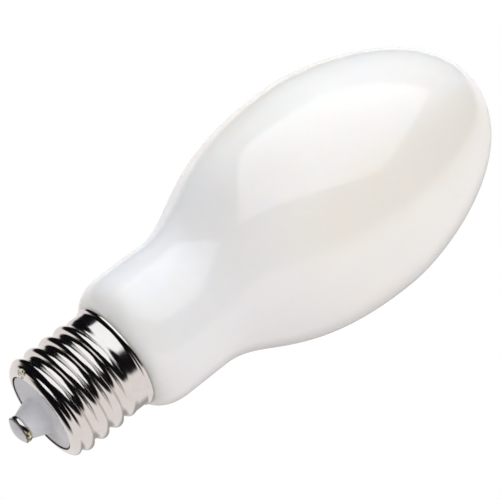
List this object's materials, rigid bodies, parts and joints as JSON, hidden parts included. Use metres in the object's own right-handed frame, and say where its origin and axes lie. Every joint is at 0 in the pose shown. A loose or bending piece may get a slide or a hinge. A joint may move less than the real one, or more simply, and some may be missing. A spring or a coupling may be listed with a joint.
{
  "type": "led hid replacement bulb",
  "caption": "LED lamp that replaces a discharge lamp: sealed white glass envelope of ellipsoid form on a large nickel screw base with a grey insulator and a domed centre contact.",
  "frame": {"origin": "tip of the centre contact's dome, the lowest point of the base", "axes": "+Z along the lamp's axis from the base to the crown; -Y towards the side that the picture shows"},
  "size_m": [0.0888, 0.0888, 0.2179],
  "materials": {
    "milk_glass": "glossy white coated glass",
    "shell_nickel": "bright nickel plate",
    "insulator_grey": "satin light grey",
    "contact_nickel": "bright nickel plate",
    "tin_solder": "satin pale solder",
    "solder": "rough tarnished solder",
    "copper_wire": "copper",
    "cement": "matt basing cement",
    "board_green": "satin board lacquer",
    "capacitor_sleeve": "dark sleeve",
    "ferrite": "matt dark ferrite",
    "moulded_black": "matt moulding",
    "resistor_body": "matt coated body"
  },
  "bodies": {
    "root": {"glass_envelope": "milk_glass", "screw_shell": "shell_nickel", "insulator": "insulator_grey", "centre_contact": "contact_nickel", "contact_solder": "tin_solder", "side_solder": "solder", "side_lead": "copper_wire", "centre_lead": "copper_wire", "basing_cement": "cement", "driver_board": "board_green", "input_capacitor": "capacitor_sleeve", "choke_core": "ferrite", "choke_winding": "copper_wire", "rectifier": "moulded_black", "driver_chip": "moulded_black", "fuse_resistor": "resistor_body", "stem_lead_left": "copper_wire", "stem_lead_right": "copper_wire"}
  },
  "joints": []
}
